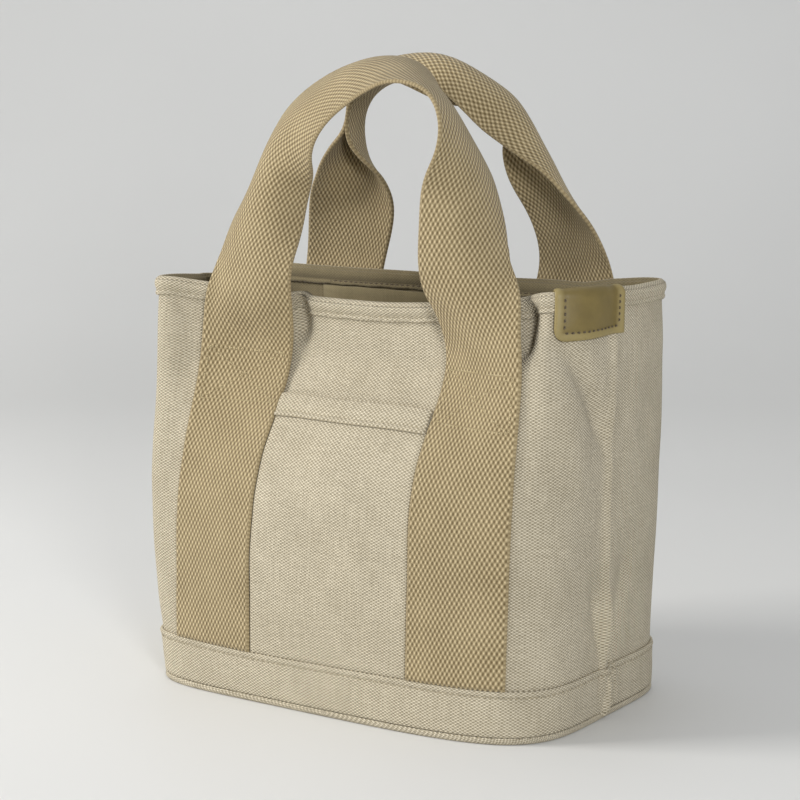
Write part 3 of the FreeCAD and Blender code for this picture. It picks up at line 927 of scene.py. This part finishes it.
def loop_surface(stations):
    """Middle surface of a free loop, row by row."""
    stations = np.array(stations, float)
    key = arc(stations[:, :3])
    centre = spline(key, stations[:, :3])
    shape = spline(key, stations[:, 3:])
    along = np.linspace(0, key[-1], round(key[-1] / ROW_STEP) + 1)
    middle = centre(along)
    run = centre(np.clip(along + 0.5, 0, key[-1])) - centre(np.clip(along - 0.5, 0, key[-1]))
    run /= np.linalg.norm(run, axis=1)[:, None]
    roll, cup = np.radians(shape(along)[:, :2]).T
    crease = np.maximum(shape(along)[:, 2], 0.3)
    outward = np.cross(run, (0, 1, 0))
    outward /= np.linalg.norm(outward, axis=1)[:, None]
    backward = np.cross(outward, run)
    face = np.cos(roll)[:, None] * outward + np.sin(roll)[:, None] * backward
    aside = np.cross(run, face)
    fine = np.linspace(-STRAP_HALF, STRAP_HALF, 201)
    turn = cup[:, None] * np.tanh(crease[:, None] * fine / STRAP_HALF) / np.tanh(crease[:, None])

    def summed(values):
        total = np.concatenate(
            [np.zeros((len(values), 1)), np.cumsum((values[:, 1:] + values[:, :-1]) / 2, 1)], 1)
        total = (total - total[:, [100]]) * (fine[1] - fine[0])
        return np.array([np.interp(ACROSS, fine, row) for row in total])

    return (middle[:, None] + aside[:, None] * summed(np.cos(turn))[..., None]
            - face[:, None] * summed(np.sin(turn))[..., None]), along


def sewn_surface(side, middle, sense):
    """Middle surface of a strap where it is sewn to the wall, from the foot upwards."""
    zs = np.linspace(STRAP_LOW[2], SEWN_TOP, round((SEWN_TOP - STRAP_LOW[2]) / ROW_STEP) + 1)
    z, x = np.meshgrid(zs, middle + sense * ACROSS, indexing="ij")
    return shell(side, t_of_x(side, x, z), z, GAP + WEBBING / 2)


def clear_of_wall(side, middle):
    """Keeps the webbing outside the wall and its bound edge."""
    x, z = middle[..., 0], middle[..., 2]
    top = (RIM_BACK if side > 0 else RIM_FRONT)(x)
    at = np.minimum(z, top - WALL_SHORT)
    need = GAP + WEBBING / 2 + smoothstep((at - top + 14) / 4) * (CLOTH + 1.0)
    t = t_of_x(side, x, at)
    wall = shell(side, t, at, need)
    way = shell(side, t, at, need + 1) - wall
    lean = np.clip(way[..., 0] / (side * way[..., 1] + 0.01), -0.6, 0.6)
    wall = side * wall[..., 1] - 0.6 * np.maximum(z - top, 0)
    soft = 0.05 + 1.0 * smoothstep((z - SEWN_TOP) / 20)
    own = side * middle[..., 1]
    push = np.where(z < RIM + 30, (wall - own + np.sqrt((own - wall) ** 2 + soft ** 2)) / 2, 0)
    # The webbing is stiff: a push is shared with the rows above and below.
    shared = push.copy()
    for step in range(1, 18):
        part = hump(step * ROW_STEP, 17) * push
        shared[step:] = np.maximum(shared[step:], part[:-step])
        shared[:-step] = np.maximum(shared[:-step], part[step:])
    middle[..., 0] += lean * shared
    middle[..., 1] += side * shared


def eased(middle, turns):
    """Takes the sharpness out of the webbing where it leaves its stitching."""
    rows = np.arange(len(middle))
    weight = sum(0.5 * hump(rows - turn, EASE / ROW_STEP) for turn in turns)[:, None, None]
    for _ in range(60):
        between = middle.copy()
        between[1:-1] = (middle[:-2] + middle[2:]) / 2
        middle = middle + weight * (between - middle)
    return middle


def webbing(name, side, stations, nodes):
    loop, along = loop_surface(stations)
    rise = sewn_surface(side, -STRAP_MIDDLE, -side)
    fall = sewn_surface(side, STRAP_MIDDLE, side)
    for sewn, far in ((rise, along), (fall, along[-1] - along)):
        way = sewn[-1] - sewn[-2]
        way /= np.linalg.norm(way, axis=1)[:, None]
        for row in np.flatnonzero(far < JOIN):
            share = smoothstep(far[row] / JOIN)
            loop[row] = loop[row] * share + (sewn[-1] + way * far[row]) * (1 - share)
    middle = np.concatenate([rise[:-1], loop, fall[-2::-1]])
    clear_of_wall(side, middle)
    middle = eased(middle, (len(rise) - 1, len(middle) - len(fall)))
    clear_of_wall(side, middle)
    far = arc(middle[:, len(ACROSS) // 2])
    run = np.gradient(middle, axis=0)
    over = np.gradient(middle, axis=1)
    face = np.cross(over, run)
    face /= np.linalg.norm(face, axis=2)[..., None]
    edge = np.clip((np.abs(ACROSS) - 23.6) / 1.4, 0, 1)
    half = WEBBING / 2 * np.sqrt(1 - 0.98 * edge ** 2)
    half = np.broadcast_to(half, middle.shape[:2]).copy()
    half[[0, -1]] *= 0.6
    lift = (0.12 * hump(np.abs(ACROSS) - 23.4, 0.9))[None, :, None]
    outer = middle + face * (half[..., None] + lift)
    inner = middle - face * half[..., None]
    piece = slab(name, outer, inner, flat_uv(ACROSS, far[:, None]), WEBBING_LOOK)
    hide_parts(*nodes)
    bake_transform(piece)
    SEWN_FACES.append((-side, outer[:len(rise)], face[:len(rise)]))
    SEWN_FACES.append((side, outer[:-len(fall) - 1:-1], face[:-len(fall) - 1:-1]))


webbing("front_webbing", -1, FRONT_LOOP,
        ("front_strap_left", "front_strap_right", "front_handle"))
webbing("back_webbing", 1, BACK_LOOP,
        ("back_strap_left", "back_strap_right", "back_handle"))


def on_grid(grid, row, column):
    """Points of a grid between its rows and columns."""
    low = np.clip(row.astype(int), 0, grid.shape[0] - 2)
    left = np.clip(column.astype(int), 0, grid.shape[1] - 2)
    up, over = (row - low)[:, None], (column - left)[:, None]
    return ((grid[low, left] * (1 - over) + grid[low, left + 1] * over) * (1 - up)
            + (grid[low + 1, left] * (1 - over) + grid[low + 1, left + 1] * over) * up)


def box_rows():
    """The box with a cross in it that holds each strap."""
    rows = []
    low, high = STITCH_LOW[2] + 0.4, STITCH_HIGH[2] - 0.4
    edge = STRAP_HALF - 4
    ends = (((-edge, low), (edge, low)), ((-edge, high), (edge, high)),
            ((-edge, low), (-edge, high)), ((edge, low), (edge, high)),
            ((-edge, low), (edge, high)), ((-edge, high), (edge, low)))
    for sense, grid, face in SEWN_FACES:
        for start, stop in ends:
            over = np.linspace(start[0], stop[0], 16)
            z = np.linspace(start[1], stop[1], 16)
            row = (z - STRAP_LOW[2]) / (SEWN_TOP - STRAP_LOW[2]) * (len(grid) - 1)
            column = np.interp(sense * over, ACROSS, np.arange(len(ACROSS)))
            ways = on_grid(face, row, column)
            rows.append((on_grid(grid, row, column) - 0.1 * ways, ways))
    return rows


finish_piece(stitches("strap_box_thread", box_rows(), TAN_THREAD_LOOK, length=1.8, pitch=2.7, height=0.6),
             "thread", "strap_box_stitches")


# ---- Leather tab, folded over the rim in front of the right side seam ----

def leather_tab():
    start, length, corner = 4.0, 44.0, 6.0
    depth, flare = 20.8, 2.4
    base_out = GAP + CLOTH + 0.45
    base_in = -CANVAS - GAP - CLOTH - 0.45
    thick = 1.5
    middle = (base_out + base_in) / 2
    small = (base_out - base_in) / 2
    lift = 0.2 - small
    dense = np.linspace(0.6, 1, 300)
    far = arc(plan(-1, dense, np.full(300, RIM_PLAN)))
    from_seam = far[-1] - far
    offsets = lines(start, length, 1.0, 0.4)
    drop_low = depth + flare * offsets / length
    ts = np.interp(-offsets, -from_seam, dense)
    top = rim_height(-1, ts)
    turn = np.linspace(0, math.pi, 11)[1:-1]
    inset = np.clip(corner - (length - offsets), 0, corner)
    shorter = corner - np.sqrt(np.maximum(corner ** 2 - inset ** 2, 0))
    ends = np.minimum(offsets - start, length - offsets)
    fall = np.concatenate([[0, 0.016], np.linspace(0.035, 1, 26)])
    path = ([("out", share, 0) for share in fall] + [("turn", 1, angle) for angle in turn]
            + [("in", share, 0) for share in fall[::-1]])
    rows_outer, rows_inner, edge_rows, flats = [], [], [], []
    for kind, share, angle in path:
        low = -(drop_low - shorter)
        drop = low * (1 - share) + lift * share
        border = ends if kind == "turn" else np.minimum(ends, drop_low + drop - shorter * 0.6)
        raised = 0.1 * smoothstep((3.6 - border) / 1.2) + 0.5 * smoothstep((border - 5) / 8)
        raised = raised - 0.25 * hump(border - 4.2, 0.8)
        rounded = 0.7 * (1 - smoothstep(border / 0.7))
        over = np.stack([thick + raised - rounded, 0 * ends])
        if kind == "turn":
            outer, inner = shell(-1, ts, top + lift + (small + over) * math.sin(angle),
                                 middle + (small + over) * math.cos(angle))
            where = 0 * drop + angle * 4
        else:
            base, sense, where = (base_out, 1, drop) if kind == "out" else (base_in, -1, 13 - drop)
            outer, inner = shell(-1, ts, top + drop, base + sense * over)
        rows_outer.append(outer)
        rows_inner.append(inner)
        edge_rows.append(0.75 * smoothstep((4.2 - border) / 1.4))
        flats.append(np.stack([offsets, where], -1))
    piece = slab("leather_tab", np.array(rows_outer), np.array(rows_inner), np.array(flats), LEATHER_LOOK)
    paint = piece.data.attributes.new("edge", "FLOAT", "POINT")
    edge = np.array(edge_rows).ravel()
    paint.data.foreach_set("value", np.concatenate([edge, edge]).astype(np.float32))
    finish_piece(piece, "leather", "side_tab")

    def at(offset, drop):
        t = np.interp(-np.asarray(offset, float), -from_seam, dense)
        height = rim_height(-1, t) + drop
        points = shell(-1, t, height, base_out + thick - 0.08)
        return points, shell(-1, t, height, base_out + thick + 1) - points

    inset = 4.3
    left, right = length - inset, start + 3.2

    def bottom(offset):
        return 3.8 - (depth + flare * offset / length)

    along = np.linspace(left, right, 20)
    rows = [
        at(np.full(9, left), np.linspace(-2, bottom(left) + 1.2, 9)),
        at(along, bottom(along)),
        at(np.full(9, right), np.linspace(bottom(right) + 1.2, -2, 9)),
    ]
    thread = stitches("leather_tab_thread", rows, DARK_THREAD_LOOK, length=1.7, pitch=2.8,
                      width=0.95, height=0.7)
    finish_piece(thread, "dark_thread", "tab_stitches")


leather_tab()


# ---- Each half's canvas, foot band and rim, taken back out of TRIM ----

for face in ("front", "back"):
    panel, band, rim = TRIM[face]


# ---- Floor, light and camera ----

def make_floor():
    """Pale floor that turns up into a backdrop behind the bag, in line with the camera."""
    azimuth = math.radians(32)
    away = np.array((-math.sin(azimuth), math.cos(azimuth), 0))
    right = np.array((math.cos(azimuth), math.sin(azimuth), 0))
    near, far, radius, half_width, top = -2600, 900, 700, 3200, 3200
    profile = [(near, 0), (far, 0)]
    for step in range(1, 13):
        turn = math.pi / 2 * step / 12
        profile.append((far + radius * math.sin(turn), radius * (1 - math.cos(turn))))
    profile.append((far + radius, top))
    points = []
    for out, up in profile:
        for over in (-half_width, half_width):
            points.append(away * out + right * over + (0, 0, up))
    s = Shader("backdrop", roughness=0.55, specular=0.35)
    where = s.node("ShaderNodeTexCoord").outputs["Object"]
    share = s.noise(where, 2.0, 2.0)
    s.finish(s.ramp(colour("dcdcda"), colour("e6e6e4"), share), share, 0.02, 0.1 * MM)
    flat = [(p[0], p[1]) for p in points]
    floor = new_piece("floor", points, quads(len(profile), 2).tolist(), flat, s.material)


def area_light(name, place, target, size, power, tint=(1, 1, 1)):
    data = bpy.data.lights.new(name, "AREA")
    data.shape = "RECTANGLE"
    data.size, data.size_y = size
    data.energy = power
    data.color = tint
    light = bpy.data.objects.new(name, data)
    light.location = place
    light.rotation_euler = (Vector(place) - Vector(target)).to_track_quat("Z", "Y").to_euler()
    bpy.context.scene.collection.objects.link(light)


def make_light():
    world = bpy.data.worlds.new("studio")
    world.use_nodes = True
    background = next(n for n in world.node_tree.nodes if n.type == "BACKGROUND")
    background.inputs["Color"].default_value = (0.95, 0.97, 1, 1)
    background.inputs["Strength"].default_value = 0.4
    bpy.context.scene.world = world
    area_light("key", (-1.05, -0.75, 0.75), (0, 0, 0.14), (0.5, 0.5), 15, (1, 0.98, 0.95))
    area_light("fill", (1.25, -1.3, 0.65), (0, 0, 0.12), (0.35, 0.35), 14.5, (0.97, 0.98, 1))
    area_light("top", (-0.3, 0.2, 1.9), (0, 0, 0.1), (1.2, 1.2), 5)


def make_camera():
    """The camera stands ahead and to the right, looking slightly down."""
    place_azimuth, place_elevation = math.radians(32.01), math.radians(10.82)
    look_azimuth, look_elevation = math.radians(32.17), math.radians(9.14)
    distance, focal, frame_pixels = 1.2135, 2401.0, 800.0

    def way(azimuth, elevation):
        return Vector((math.sin(azimuth) * math.cos(elevation),
                       -math.cos(azimuth) * math.cos(elevation), math.sin(elevation)))

    data = bpy.data.cameras.new("camera")
    data.sensor_width = 36
    data.lens = focal * data.sensor_width / frame_pixels
    camera = bpy.data.objects.new("camera", data)
    back = way(look_azimuth, look_elevation)
    right = Vector((math.cos(look_azimuth), math.sin(look_azimuth), 0))
    up = back.cross(right)
    turn = Matrix((right, up, back)).transposed().to_4x4()
    place = Vector((0, 0, 0.11)) + way(place_azimuth, place_elevation) * distance
    camera.matrix_world = Matrix.Translation(place) @ turn
    bpy.context.scene.collection.objects.link(camera)
    bpy.context.scene.camera = camera


make_floor()
make_light()
make_camera()
bpy.context.scene.view_settings.view_transform = "Standard"
